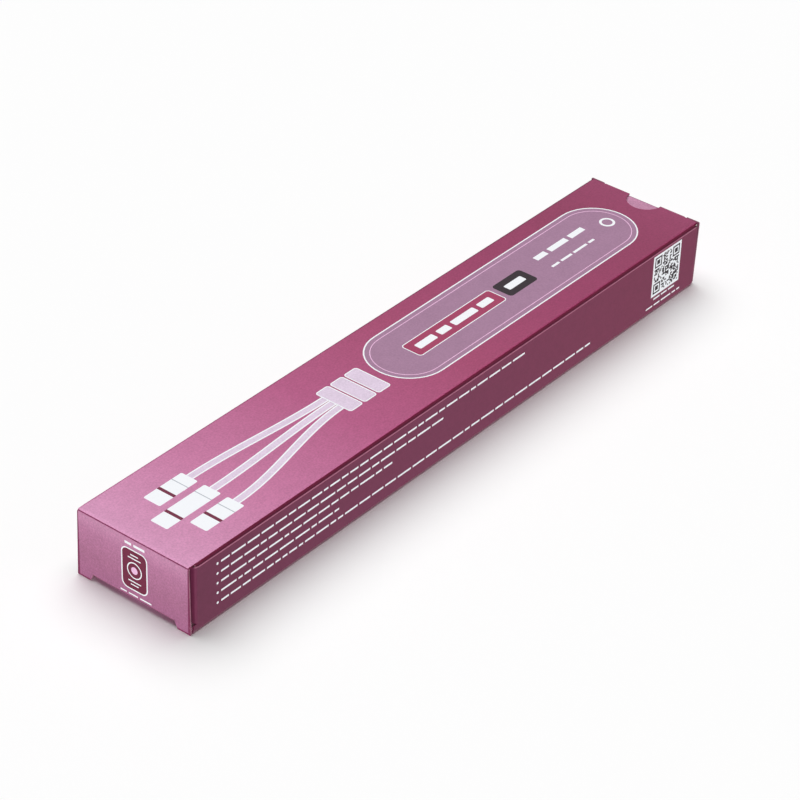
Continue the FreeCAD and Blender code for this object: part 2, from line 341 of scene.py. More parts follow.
@dataclass(frozen=True)
class FloodInk(PaperInk):
    """Ink over a whole panel in one tone or a blend, with painted shade along the creases and
    rubbed wear beside them.

    A blend starts in the colour at the low end and runs through the stops along its axis. A dark
    crease colour is painted shade and a pale one is a painted highlight; the rubbed patches are
    wear.
    """

    crease_shading_colour: Tone = (104, 26, 58)
    crease_shading_share: float = 1.0
    crease_shading_width: float = 0.45 * MM
    rub_colour: Tone = (205, 160, 180)
    stops: tuple[tuple[float, Tone], ...] = ()
    axis: int = 0
    low: Vector = Vector((0, 0, 0)).freeze()
    high: Vector = Vector((1, 1, 1)).freeze()

    def tone(self, shader: Shader, groups: Groups) -> Socket:
        """The blend, with the painted crease shading and the rubbed wear in it.

        Args:
            shader: The tool that adds the material's nodes.
            groups: The shared shader groups.

        Returns:
            The colour's socket.
        """
        colour = linear(self.colour)
        if self.stops:
            along = shader.parts(shader.place())[self.axis]
            share = shader.spread(along, self.low[self.axis], self.high[self.axis])
            later = [(at, linear(tone)) for at, tone in self.stops]
            colour = shader.ramp(share, [(0.0, colour), *later])
        crease = shader.add("ShaderNodeGroup", {
            "Centre": (self.low + self.high) / 2, "Half size": (self.high - self.low) / 2,
            "Width": self.crease_shading_width,
        }, node_tree=groups.crease)
        # Painted crease shading laid over the ink, then the rubbed wear.
        crease_shaded = shader.math("MULTIPLY", crease.outputs["Crease"], self.crease_shading_share)
        toned = shader.mix(crease_shaded, colour, linear(self.crease_shading_colour))
        return shader.mix(crease.outputs["Rub"], toned, linear(self.rub_colour))


# ---- the cut board ----


class BoardFace(Enum):
    """What a face of the folded board is."""

    CUT = "cut"
    CLOSURE_CUT = "closure cut"
    INSIDE = "inside"
    SEAM = "seam crease"
    FAR_CREASE = "far crease"
    RIM = "tuck fold rim"
    TOP = "top"
    END = "end"
    FLOOD = "flood"


@dataclass
class FoldedBoard:
    """The nodes of folded board, whose faces are told apart and dressed."""

    low: Vector
    high: Vector
    groups: Groups
    finishes: dict[BoardFace, Material] = field(init=False)
    crease_depth: float = 1.9 * MM
    fold_depth: float = 1.2 * MM
    fold_height: float = 4 * MM
    thickest: float = 1.3 * BOARD
    skin: float = 0.02 * BOARD
    probe: float = 4 * BOARD
    seam_turn: float = -0.62
    straight: float = 0.05
    least_lean: float = 0.1
    fold_lean: float = 0.2

    def __post_init__(self) -> None:
        """Build the materials of the printed outside with its painted light and shade, the inside
        and the cut edges.
        """
        low, high = self.low, self.high
        box = {"low": low, "high": high}
        inset = Vector((0, 0.3 * MM, 0))
        end_box = {"low": low + inset, "high": high - inset, "axis": 2}
        seam_box = {"low": Vector((low.x, low.y, high.z - SEAM_BAND)), "high": high, "axis": 2}
        finishes = {
            # Print blend from pink at the front end to maroon at the rear. The pale crease colour
            # is a faint rim along the top's edges: partly rubbed edge, partly painted highlight.
            BoardFace.TOP: FloodInk(
                "printed_top_blend", (206, 145, 181), speckle=0.17,
                crease_shading_colour=(236, 190, 212), crease_shading_share=0.06, stops=(
                    (0.15, (193, 117, 157)), (0.345, (174, 84, 127)), (0.535, (159, 66, 105)),
                    (0.73, (149, 57, 97)), (0.9, (141, 55, 91)), (1.0, (147, 61, 98)),
                ), **box),
            # Painted light: the maroon is one solid ink; the blend along the length makes it darker
            # towards the front end and lighter along the middle and rear. Its creases get painted
            # shade.
            BoardFace.FLOOD: FloodInk(
                "maroon_print_painted_light_blend", (105, 41, 70), speckle=0.09,
                stops=((0.45, (114, 44, 76)), (0.85, (118, 42, 74))), **box),
            # Painted light: the pink blend up the closures is lighter towards the top, where more
            # light falls. The dark crease colour is painted shade along the fold and edges.
            BoardFace.END: FloodInk(
                "end_pink_print_painted_top_light", (163, 98, 135), speckle=0.24, mottle=0.08,
                crease_shading_colour=(122, 38, 80), crease_shading_width=0.6 * MM, stops=(
                    (0.4, (167, 105, 138)), (0.75, (180, 117, 152)), (0.9, (192, 131, 165)),
                    (1.0, (190, 134, 164)),
                ), **end_box),
            # Painted shade: the maroon print over the seam-side crease is darker than the flat
            # side, darkest in a thin line at the top edge and darker again near the band's foot.
            BoardFace.SEAM: FloodInk(
                "seam_crease_painted_shade", (96, 30, 56), crease_shading_width=0.01 * MM, stops=(
                    (0.3, (90, 24, 50)), (0.5, (98, 24, 52)), (0.68, (107, 28, 56)),
                    (0.86, (85, 11, 37)), (0.95, (71, 4, 30)),
                ), **seam_box),
            # Painted shade: the far crease follows the print from pink to maroon along the length,
            # painted darker than the faces beside it, and the crease colour darkens it more.
            BoardFace.FAR_CREASE: FloodInk(
                "far_crease_print_painted_shade", (176, 92, 136),
                stops=((0.345, (138, 50, 92)), (0.73, (108, 34, 68))), **box),
            # Painted shade: the tuck folds' rims are a darker purple than the end pink.
            BoardFace.RIM: PaperInk("tuck_rim_painted_shade", (127, 50, 88)),
            # Bare board; the dark crease colour is painted shade near the inside's edges.
            BoardFace.INSIDE: FloodInk(
                "bare_board_inside", (226, 221, 212), 0.8, 0.15, 0.08, 0.05, 0.15,
                crease_shading_colour=(112, 66, 84), crease_shading_width=0.7 * MM, **box),
            BoardFace.CUT: PaperInk(
                "cut_board_edge", (168, 107, 130), 0.85, 0.1, 0.15, 0.1, 0.3),
            BoardFace.CLOSURE_CUT: PaperInk(
                "cut_closure_edge", (148, 99, 116), 0.85, 0.1, 0.2, 0.35, 0.3),
        }
        self.finishes = {kind: ink.build(self.groups) for kind, ink in finishes.items()}

    def sort_face(self, tree: BVHTree, centre: Vector, normal: Vector, end: bool) -> BoardFace:
        """Tell what a face is from how thick the board is behind it and where it points.

        Args:
            tree: The whole node, for measuring the thickness.
            centre: The face's centre.
            normal: The face's outward normal.
            end: True for a closure's faces.

        Returns:
            The kind of face.
        """
        middle = (self.low + self.high) / 2
        outward = centre - middle
        depth = (self.high - self.low) / 2 - Vector(abs(value) for value in outward)
        beside = depth.y < self.crease_depth and depth.z < SEAM_BAND
        bent = min(normal.y * outward.y, normal.z * outward.z) > 0 and abs(normal.x) < self.straight
        on_long_crease = bent and beside and not end
        start = centre - normal * self.skin
        hit = tree.ray_cast(start, -normal, self.probe)[0]
        thin = hit is not None and (hit - start).length <= self.thickest
        if not thin and not on_long_crease:
            return BoardFace.CLOSURE_CUT if end else BoardFace.CUT
        axis = max(range(3), key=lambda index: abs(normal[index]))
        if normal[axis] * outward[axis] < 0:
            return BoardFace.INSIDE
        if end:
            near_fold = depth.x < self.fold_depth and depth.z < self.fold_height
            on_fold = near_fold and normal.z * outward.z > 0
            leaning = abs(normal.z) > self.fold_lean and abs(normal.x) > self.least_lean
            rim = on_fold and leaning and normal.x * normal.z > 0
            return BoardFace.RIM if rim else BoardFace.END
        if beside and normal.y < self.seam_turn and outward.z > 0:
            return BoardFace.SEAM
        if on_long_crease and outward.y > 0 and outward.z > 0 and normal.y > self.least_lean:
            return BoardFace.FAR_CREASE
        return BoardFace.TOP if axis == 2 and normal.z > 0 else BoardFace.FLOOD

    def dress(self, node: Object, end: bool) -> None:
        """Give each face of a node the finish of its kind.

        Args:
            node: The node's object.
            end: True for a closure.
        """
        mesh = node.data
        cover(mesh, *self.finishes.values())
        kinds = list(self.finishes)
        points = [vertex.co for vertex in mesh.vertices]
        faces = [tuple(polygon.vertices) for polygon in mesh.polygons]
        tree = BVHTree.FromPolygons(points, faces)
        for polygon in mesh.polygons:
            kind = self.sort_face(tree, polygon.center, polygon.normal, end)
            polygon.material_index = kinds.index(kind)
        LOG.info("dressed %s: %d faces", node.name, len(faces))


# ---- shapes that repeat ----


class GeometryTree(NodeTool):
    """Adds and joins the nodes of one Geometry Nodes tree with named inputs."""

    def __init__(self, name: str, sizes: dict[str, float]) -> None:
        """Start the tree.

        Args:
            name: The tree's name.
            sizes: Default value by input name.
        """
        super().__init__(bpy.data.node_groups.new(name, "GeometryNodeTree"))
        geometry = {"Geometry": "NodeSocketGeometry"}
        self.given = self.open_group(
            {**geometry, **sizes, "Finish": "NodeSocketMaterial"}, geometry)

    def chance(self, least: Value, most: Value) -> Socket:
        """A random number for each point, from the tree's own seed."""
        return self.add("FunctionNodeRandomValue", {
            2: least, 3: most, 7: self.out("GeometryNodeInputIndex"), 8: self.given["Seed"],
        }, data_type="FLOAT").outputs[1]

    def vector_of(self, across: Value, along: Value = 0.0, up: Value = 0.0) -> Socket:
        """Join three numbers into a vector."""
        return self.out("ShaderNodeCombineXYZ", (across, along, up))

    def without(self, points: Socket, value: Value, limit: Value) -> Socket:
        """Leave out the points where a value is above a limit."""
        past = self.out("FunctionNodeCompare", (value, limit), operation="GREATER_THAN")
        return self.out("GeometryNodeDeleteGeometry", (points, past), domain="POINT")

    def block(self, size: Socket, share: Point3) -> Socket:
        """A block of a size, moved by a share of its size."""
        cube = self.out("GeometryNodeMeshCube", (size,))
        return self.out("GeometryNodeTransform", {
            0: cube, "Translation": self.vector("MULTIPLY", size, share),
        })

    def repeat(self, points: Socket, block: Socket, scale: Value = (1, 1, 1)) -> None:
        """Put a block on every point, realize the instances and give them the finish.

        Args:
            points: The points.
            block: The block.
            scale: How much each block is stretched.
        """
        placed = self.out("GeometryNodeInstanceOnPoints", {
            "Points": points, "Instance": block, "Scale": scale,
        })
        solid = self.out("GeometryNodeRealizeInstances", (placed,))
        dressed = self.out("GeometryNodeSetMaterial", {0: solid, 2: self.given["Finish"]})
        self.add("NodeGroupOutput", (dressed,))

    def run(self, values: dict[str, object], place: Matrix, shapes: BMesh) -> None:
        """Run the tree once with its own values and add what comes out to other shapes.

        Args:
            values: Value by input name.
            place: The turn and shift that lay the mesh.
            shapes: The shapes that it joins.
        """
        holder = place_in_scene("holder", bpy.data.meshes.new("holder"))
        modifier = holder.modifiers.new("repeat", "NODES")
        modifier.node_group = self.tree
        for socket in self.tree.interface.items_tree:
            if socket.in_out == "INPUT" and socket.name in values:
                modifier[socket.identifier] = values[socket.name]
        graph = bpy.context.evaluated_depsgraph_get()
        graph.update()
        mesh = bpy.data.meshes.new_from_object(holder.evaluated_get(graph))
        bpy.data.objects.remove(holder)
        mesh.transform(place)
        shapes.from_mesh(mesh)
        bpy.data.meshes.remove(mesh)


def bar_tree() -> GeometryTree:
    """A row of plain bars of uneven length, which has the rhythm of a printed line.

    Returns:
        The tree.
    """
    tree = GeometryTree("bar_row", {
        "Length": 40.0 * MM, "Shortest": 1.6 * MM, "Longest": 7.0 * MM, "Space": 0.9 * MM,
        "Height": 0.7 * MM, "Film": 0.012 * MM, "Seed": 1,
    })
    given = tree.given
    least = tree.math("ADD", given["Shortest"], given["Space"])
    count = tree.math("CEIL", tree.math("DIVIDE", given["Length"], least))
    line = tree.out("GeometryNodeMeshLine", {"Count": count, "Offset": (0, 0, 0)}, mode="OFFSET")
    width = tree.chance(given["Shortest"], given["Longest"])
    step = tree.math("ADD", width, given["Space"])
    start = tree.add("GeometryNodeAccumulateField", {"Value": step},
                     data_type="FLOAT").outputs["Trailing"]
    spaced = tree.out("GeometryNodeSetPosition", {0: line, "Position": tree.vector_of(start)})
    kept = tree.without(spaced, tree.math("ADD", start, given["Shortest"]), given["Length"])
    cut = tree.math("MINIMUM", width, tree.math("SUBTRACT", given["Length"], start))
    block = tree.block(tree.vector_of(1.0, given["Height"], given["Film"]), (0.5, 0.5, 0.5))
    tree.repeat(kept, block, tree.vector_of(cut, 1.0, 1.0))
    return tree


def module_tree() -> GeometryTree:
    """A square field of dark modules in random places.

    Returns:
        The tree.
    """
    tree = GeometryTree("code_modules", {
        "Side": 14.0 * MM, "Modules": 25, "Film": 0.024 * MM, "Share": 0.48, "Seed": 5,
    })
    given = tree.given
    module = tree.math("DIVIDE", given["Side"], given["Modules"])
    inner = tree.math("SUBTRACT", given["Side"], module)
    grid = tree.out("GeometryNodeMeshGrid", (inner, inner, given["Modules"], given["Modules"]))
    across, along, _ = tree.parts(tree.out("GeometryNodeInputPosition"))
    corner = tree.math("SUBTRACT", tree.math("MULTIPLY", given["Side"], 0.5),
                       tree.math("MULTIPLY", module, 8.0))
    beside, above = (tree.math("GREATER_THAN", tree.math("ABSOLUTE", value), corner)
                     for value in (across, along))
    last = tree.math("MULTIPLY", tree.math("GREATER_THAN", across, corner),
                     tree.math("LESS_THAN", along, tree.math("MULTIPLY", corner, -1.0)))
    blank = tree.math("SUBTRACT", tree.math("MULTIPLY", beside, above), last)
    light = tree.math("GREATER_THAN", tree.chance(0.0, 1.0), given["Share"])
    tree.repeat(tree.without(grid, tree.math("ADD", blank, light), 0.5),
                tree.block(tree.vector_of(module, module, given["Film"]), (0, 0, 0.5)))
    return tree


# ---- shapes of the ink ----


def rounded_box(box: Box2, radius: float, steps: int = 10) -> list[Point2]:
    """Outline of a box with rounded corners, with the same count of points for any size.

    Args:
        box: Its lowest and highest first coordinate, then its lowest and highest second one.
        radius: Radius of the corners.
        steps: Pieces of each corner's arc.

    Returns:
        The outline, anticlockwise.
    """
    left, right, low, high = box
    centres = [
        (right - radius, high - radius), (left + radius, high - radius),
        (left + radius, low + radius), (right - radius, low + radius),
    ]
    outline = []
    for quarter, (across, along) in enumerate(centres):
        for step in range(steps + 1):
            turn = math.pi / 2 * (quarter + step / steps)
            outline.append((across + radius * math.cos(turn), along + radius * math.sin(turn)))
    return outline


def disc(across: float, along: float, radius: float) -> list[Point2]:
    """Outline of a circle."""
    return rounded_box((across - radius, across + radius, along - radius, along + radius), radius)


def strand(start: Point2, end: Point2, width: float, steps: int = 40) -> list[Point2]:
    """Outline of a band that runs from start to end in a smooth S.

    Args:
        start: Middle of the first end.
        end: Middle of the other end.
        width: Width of the band.
        steps: Pieces along it.

    Returns:
        The outline, anticlockwise.
    """
    left, right = [], []
    run, rise = end[0] - start[0], end[1] - start[1]
    for step in range(steps + 1):
        share = step / steps
        slope = 6 * share * (1 - share) * rise / run
        across = start[0] + share * run
        along = start[1] + share * share * (3 - 2 * share) * rise
        length = math.hypot(1, slope)
        normal = (-slope / length * width / 2, width / 2 / length)
        left.append((across + normal[0], along + normal[1]))
        right.append((across - normal[0], along - normal[1]))
    return right + left[::-1]


@dataclass(frozen=True)
class Sheet:
    """A flat face of the carton to print on, with its own two directions."""

    origin: Vector
    along: Vector
    down: Vector
    body: str

    @property
    def outward(self) -> Vector:
        """The face's outward direction."""
        return self.down.cross(self.along)

    def place(self, point: Point2, lift: float) -> Vector:
        """Turn a point of the sheet and a lift off it, in millimetres, into a place."""
        flat = self.along * point[0] + self.down * point[1]
        return self.origin + (flat + self.outward * lift) * MM

    def matrix(self) -> Matrix:
        """The turn and shift that lay a flat mesh in metres on the sheet."""
        turn = Matrix((self.along, -self.down, self.outward)).transposed().to_4x4()
        return Matrix.Translation(self.origin) @ turn


def join_rings(mesh: BMesh, rings: list[list[BMVert]]) -> None:
    """Join each ring of points to the next one by faces.

    Args:
        mesh: The shapes that hold the points.
        rings: The rings, all with the same count of points.
    """
    for ring, following in zip(rings, rings[1:]):
        for index in range(len(ring)):
            after = (index + 1) % len(ring)
            mesh.faces.new((ring[index], following[index], following[after], ring[after]))


@dataclass
class InkFilm:
    """A film of ink in one finish on one sheet, made of closed flat shapes."""

    name: str
    sheet: Sheet
    finish: Material
    layer: int = 1
    thickness: float = 0.012
    mesh: BMesh = field(default_factory=bmesh.new)

    def points(self, outline: list[Point2], layer: int) -> list[BMVert]:
        """Put an outline of the sheet, in millimetres, at the height of a layer."""
        lift = layer * self.thickness
        return [self.mesh.verts.new(self.sheet.place(point, lift)) for point in outline]

    def fill(self, outline: list[Point2]) -> None:
        """Add a filled shape.

        Args:
            outline: The shape's outline on the sheet, in millimetres.
        """
        foot, head = self.points(outline, 0), self.points(outline, self.layer)
        self.mesh.faces.new(foot)
        self.mesh.faces.new(head[::-1])
        join_rings(self.mesh, [foot, head])

    def box(self, box: Box2, radius: float) -> None:
        """Add a filled rounded box."""
        self.fill(rounded_box(box, radius))

    def ring(self, box: Box2, radius: float, width: float) -> None:
        """Add the line round a rounded box, drawn inside it.

        Args:
            box: The rounded box.
            radius: Radius of its corners.
            width: Width of the line.
        """
        left, right, low, high = box
        outer = rounded_box(box, radius)
        inner = rounded_box((left + width, right - width, low + width, high - width),
                            max(radius - width, 0.01))
        rings = [self.points(outer, 0), self.points(outer, self.layer),
                 self.points(inner, self.layer), self.points(inner, 0)]
        join_rings(self.mesh, rings + rings[:1])

    def repeat(self, tree: GeometryTree, across: float, down: float, values: dict) -> None:
        """Add what a tree makes, laid at a point of the sheet.

        Args:
            tree: The tree.
            across: The point's first coordinate, in millimetres.
            down: Its second coordinate.
            values: The tree's values by input name, apart from the ink's own.
        """
        ink = {"Film": self.layer * self.thickness * MM, "Finish": self.finish}
        shift = Matrix.Translation((across * MM, -down * MM, 0))
        tree.run({**values, **ink}, self.sheet.matrix() @ shift, self.mesh)


def settle(name: str, shapes: BMesh, finish: Material, body: str) -> Object:
    """Turn closed shapes into a piece of the carton and use them up.

    Args:
        name: The piece's name.
        shapes: The shapes, in place.
        finish: Its material.
        body: The body that it moves with.

    Returns:
        The piece.
    """
    bmesh.ops.recalc_face_normals(shapes, faces=shapes.faces)
    data = bpy.data.meshes.new(name)
    shapes.to_mesh(data)
    shapes.free()
    cover(data, finish)
    piece = place_in_scene(name, data)
    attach(piece, body)
    LOG.info("made %s on %s: %d faces", name, body, len(data.polygons))
    return piece


@dataclass
class CornerTabs:
    """The low front corners of the side panels, which reach out towards the closure."""

    low: Vector
    high: Vector
    finish: Material
    bend: float = 1.2
    sweep: float = 75.0
    skin: float = 0.01
    rise: float = 2.9
    reach: Point2 = (0.95, 1.7)
    root: float = 3.6

    def profile(self, steps: int = 6) -> list[tuple[float, ...]]:
        """How deep and how high the board's two faces lie, from the top of a corner down.

        Args:
            steps: Parts of the bend.

        Returns:
            Depth and height of the outer face, then of the inner one, in millimetres.
        """
        board = BOARD / MM
        sections = [(self.skin, self.rise, board - self.skin, self.rise)]
        outer, inner = self.bend - self.skin, self.bend - board + self.skin
        for index in range(steps + 1):
            turn = math.radians(self.sweep) * index / steps
            across, down = math.cos(turn), math.sin(turn)
            sections.append((self.bend - outer * across, self.bend - outer * down,
                             self.bend - inner * across, self.bend - inner * down))
        return sections

    def build(self) -> Object:
        """Make both corners.

        Returns:
            The piece.
        """
        mesh = bmesh.new()
        for edge, inward in ((self.low.y, 1), (self.high.y, -1)):
            rings = []
            for outer, outer_z, inner, inner_z in self.profile():
                front = self.reach[0] + (self.reach[1] - self.reach[0]) * outer_z / self.rise
                corners = ((front, outer, outer_z), (self.root, outer, outer_z),
                           (self.root, inner, inner_z), (front, inner, inner_z))
                rings.append([
                    mesh.verts.new((self.low.x + x * MM, edge + inward * depth * MM, z * MM))
                    for x, depth, z in corners
                ])
            join_rings(mesh, rings)
            mesh.faces.new(rings[0])
            mesh.faces.new(rings[-1])
        return settle("panel_corner_tabs", mesh, self.finish, "sleeve")


# ---- printed sides ----


class Ink(Enum):
    """The inks of the printed figures."""

    WHITE = PaperInk("ink_white", (240, 242, 246), speckle=0.01, mottle=0.005)
    MAUVE = PaperInk("ink_mauve", (160, 121, 149))
    LAVENDER = PaperInk("ink_lavender", (218, 200, 220))
    PINK = PaperInk("ink_pink", (236, 188, 222))
    MAGENTA = PaperInk("ink_magenta", (160, 58, 95))
    MAROON = PaperInk("ink_maroon", (112, 32, 62))
    BLACK = PaperInk("ink_near_black", (46, 34, 42))
    GREY = PaperInk("ink_grey", (178, 182, 190))


@dataclass(frozen=True)
class Row:
    """A row of plain bars on a sheet: its foot, its length and its bars, in millimetres."""

    across: float
    baseline: float
    length: float
    height: float = 0.7
    longest: float = 7.0
    space: float = 0.9
    shortest_share: float = 0.25

    def values(self) -> dict[str, float]:
        """The sizes by the names that the tree of bars gives them, in metres."""
        return {
            "Length": self.length * MM, "Shortest": self.shortest_share * self.longest * MM,
            "Longest": self.longest * MM, "Space": self.space * MM, "Height": self.height * MM,
        }


@dataclass
class Figure:
    """A printed figure: films of ink on one sheet."""

    sheet: Sheet
    inks: dict[Ink, Material]
    bars: GeometryTree
    films: list[InkFilm] = field(init=False, default_factory=list)

    def film(self, name: str, ink: Ink, layer: int = 1) -> InkFilm:
        """Begin a film of ink."""
        self.films.append(InkFilm(name, self.sheet, self.inks[ink], layer))
        return self.films[-1]

    def write(self, name: str, rows: Iterable[Row], layer: int = 1) -> None:
        """Begin a white film with rows of bars, each from its own seed.

        Args:
            name: The film's name.
            rows: The rows.
            layer: The film's layer.
        """
        film = self.film(name, Ink.WHITE, layer)
        for index, row in enumerate(rows):
            seed = {"Seed": FIRST_SEED + SEED_STEP * index}
            film.repeat(self.bars, row.across, row.baseline, row.values() | seed)

    def build(self) -> None:
        """Draw the figure and turn its films into pieces, in order."""
        self.draw()
        for film in self.films:
            settle(film.name, film.mesh, film.finish, self.sheet.body)

    def draw(self) -> None:
        """Begin the figure's films and fill them."""


@dataclass
class TopPrint(Figure):
    """The figure on the top panel: three strands that join in a long capsule."""

    line: float = 0.5
    capsule: Box2 = (116.0, 248.0, 7.4, 36.4)
    inner_gap: float = 2.1
    inner_line: float = 0.28
    strand_start: float = 34.0
    strand_width: float = 3.0
    strand_tuck: float = 1.0
    strand_rows: tuple[float, ...] = (15.0, 24.4, 33.8)
    gather: float = 0.34
    tiles: tuple[Point2, ...] = ((17.0, 34.0), (10.0, 34.0), (17.0, 34.0))
    tile_half: float = 3.4
    tile_radius: float = 0.6
    stripe: Point2 = (6.0, 7.3)
    stripe_line: Point2 = (4.6, 4.25)
    stripe_radius: float = 0.1
    collar: Box2 = (93.0, 112.0, 17.4, 26.4)
    collar_past: float = 3.0
    rib_gap: float = 0.6
    rib_radius: float = 1.2
    rib_line: float = 0.4
    name_bar: Box2 = (132.0, 178.0, 17.6, 26.2)
    dark_bar: Box2 = (180.0, 195.0, 17.6, 26.2)
    bar_radius: float = 1.4
    bar_line: float = 0.35
    dashes: tuple[Point2, ...] = (
        (135.5, 9.0), (146.5, 5.5), (154.0, 12.0), (168.0, 6.5), (183.0, 9.0),
    )
    dash_rise: Point2 = (20.4, 23.4)
    dash_radius: float = 0.5
    rows: tuple[Row, ...] = (
        Row(204.0, 19.2, 27.0, 2.4, 11.0, 1.8), Row(204.0, 25.6, 24.0, 1.0, 8.0, 1.2),
    )
    spot: Box2 = (237.2, 242.8, 19.1, 24.7)
    spot_radius: float = 2.8
    spot_line: float = 0.9

    def draw(self) -> None:
        """Draw every part of the figure."""
        self.draw_capsule()
        self.draw_strands()
        self.draw_tiles()
        self.draw_collar()
        self.draw_name_bar()

    def draw_capsule(self) -> None:
        """The long field with a white line round it and a pink line inside it."""
        left, right, low, high = self.capsule
        radius, gap = (high - low) / 2, self.inner_gap
        inner = (left + gap, right - gap, low + gap, high - gap)
        self.film("print_capsule_field", Ink.MAUVE).box(self.capsule, radius)
        self.film("print_capsule_outline", Ink.WHITE, 2).ring(self.capsule, radius, self.line)
        self.film("print_capsule_inner_line", Ink.PINK, 2).ring(
            inner, radius - gap, self.inner_line)

    def draw_strands(self) -> None:
        """Three pale strands with white sides, gathered at the collar."""
        fill = self.film("print_strand_fills", Ink.LAVENDER)
        sides = self.film("print_strand_sides", Ink.WHITE, 2)
        left, _, low, high = self.collar
        for row in self.strand_rows:
            gathered = (low + high) / 2 + (row - self.strand_rows[1]) * self.gather
            start, end = (self.strand_start, row), (left + self.strand_tuck, gathered)
            fill.fill(strand(start, end, self.strand_width))
            for side in (-1, 1):
                edge = side * (self.strand_width - self.line) / 2
                sides.fill(strand((start[0], start[1] + edge), (end[0], end[1] + edge), self.line))

    def draw_tiles(self) -> None:
        """A white tile at the free end of each strand, with a stripe and a thin line."""
        tiles = self.film("print_tiles", Ink.WHITE, 3)
        stripes = self.film("print_tile_stripes", Ink.MAROON, 4)
        lines = self.film("print_tile_lines", Ink.GREY, 4)
        for row, (left, right) in zip(self.strand_rows, self.tiles):
            rise = (row - self.tile_half, row + self.tile_half)
            stripe = (left + self.stripe[0], left + self.stripe[1])
            line = (right - self.stripe_line[0], right - self.stripe_line[1])
            tiles.box((left, right, *rise), self.tile_radius)
            stripes.box((*stripe, *rise), self.stripe_radius)
            lines.box((*line, *rise), self.stripe_radius)

    def draw_collar(self) -> None:
        """Three ribs over the strands' gathered ends."""
        fill = self.film("print_collar", Ink.LAVENDER, 3)
        lines = self.film("print_collar_outline", Ink.WHITE, 4)
        left, right, low, high = self.collar
        width = (right - left) / 3
        for index in range(3):
            start = left + index * (width + self.rib_gap)
            rib = (start, start + width, low - self.collar_past, high + self.collar_past)
            fill.box(rib, self.rib_radius)
            lines.ring(rib, self.rib_radius, self.rib_line)

    def draw_name_bar(self) -> None:
        """A two-tone bar where a name would stand, with rows of bars and a ring beside it."""
        self.film("print_bar_magenta", Ink.MAGENTA, 2).box(self.name_bar, self.bar_radius)
        self.film("print_bar_dark", Ink.BLACK, 2).box(self.dark_bar, self.bar_radius)
        dashes = self.film("print_bar_dashes", Ink.WHITE, 3)
        for left, width in self.dashes:
            dashes.box((left, left + width, *self.dash_rise), self.dash_radius)
        dashes.ring(self.name_bar, self.bar_radius, self.bar_line)
        self.write("print_capsule_bars", self.rows, 2)
        self.film("print_capsule_ring", Ink.WHITE, 2).ring(
            self.spot, self.spot_radius, self.spot_line)


@dataclass
class SidePrint(Figure):
    """The seam side: five bulleted rows of bars and a square block of modules."""

    modules: GeometryTree
    baselines: tuple[float, ...] = (5.3, 9.0, 12.6, 16.2, 19.9)
    lengths: tuple[float, ...] = (149.0, 108.0, 80.0, 55.0, 187.0)
    row_start: float = 13.6
    row_rise: float = 0.35
    bullet_middle: float = 12.0
    bullet_rise: float = 0.7
    bullet_radius: float = 0.45
    small_rows: tuple[Row, ...] = (
        Row(236.0, 19.8, 12.4, 0.6, 6.0, 0.8), Row(231.9, 22.3, 20.6, 0.6, 6.0, 0.8),
    )
    block_left: float = 234.4
    block_top: float = 1.9
    block_side: float = 16.4
    block_radius: float = 0.1
    quiet: float = 0.9
    module_count: int = 25
    target_count: int = 7
    target_radius: float = 0.02

    def draw(self) -> None:
        """Draw the rows, the bullets and the block."""
        self.write("print_side_rows", [
            *(Row(self.row_start, baseline - self.row_rise, length)
              for baseline, length in zip(self.baselines, self.lengths)),
            *self.small_rows,
        ])
        bullets = self.film("print_side_bullets", Ink.WHITE)
        for baseline in self.baselines:
            bullets.fill(disc(self.bullet_middle, baseline - self.bullet_rise, self.bullet_radius))
        self.draw_block()

    def draw_block(self) -> None:
        """A white square with three corner targets and random modules that code nothing."""
        left, top, side = self.block_left, self.block_top, self.block_side
        self.film("print_code_plate", Ink.WHITE).box(
            (left, left + side, top, top + side), self.block_radius)
        inner = side - 2 * self.quiet
        module = inner / self.module_count
        self.film("print_code_modules", Ink.BLACK, 2).repeat(
            self.modules, left + side / 2, top + side / 2,
            {"Side": inner * MM, "Modules": self.module_count})
        targets = self.film("print_code_targets", Ink.BLACK, 2)
        wide = self.target_count * module
        for across, along in ((0, 0), (inner - wide, 0), (0, inner - wide)):
            x, y = left + self.quiet + across, top + self.quiet + along
            targets.ring((x, x + wide, y, y + wide), self.target_radius, module)
            near, far = 2 * module, (self.target_count - 2) * module
            targets.box((x + near, x + far, y + near, y + far), self.target_radius)


@dataclass
class EndPrint(Figure):
    """The front closure: a tall framed sign between two short rows of bars."""

    frame: Box2 = (18.4, 29.0, 4.2, 19.4)
    frame_radius: float = 2.4
    frame_line: float = 0.45
    circle: float = 3.0
    circle_line: float = 0.4
    dot: float = 1.3
    strokes: tuple[Point2, ...] = ((4.3, 2.6), (5.5, 1.6))
    stroke_half: float = 0.2
    stroke_radius: float = 0.15
    rows: tuple[Row, ...] = (
        Row(19.9, 3.0, 9.0, 0.9, 5.0), Row(17.8, 21.4, 13.8, 0.5, 5.0),
    )

    def draw(self) -> None:
        """Draw the sign and its rows of bars."""
        left, right, top, foot = self.frame
        middle, level, reach = (left + right) / 2, (top + foot) / 2, self.circle
        self.film("print_sign_field", Ink.MAROON).box(self.frame, self.frame_radius)
        lines = self.film("print_sign_lines", Ink.WHITE, 2)
        lines.ring(self.frame, self.frame_radius, self.frame_line)
        lines.ring((middle - reach, middle + reach, level - reach, level + reach), reach,
                   self.circle_line)
        for side in (-1, 1):
            for step, half in self.strokes:
                row = level + side * step
                lines.box((middle - half, middle + half, row - self.stroke_half,
                           row + self.stroke_half), self.stroke_radius)
        self.film("print_sign_dot", Ink.PINK, 2).fill(disc(middle, level, self.dot))
        self.write("print_end_rows", self.rows)


# ---- studio ----


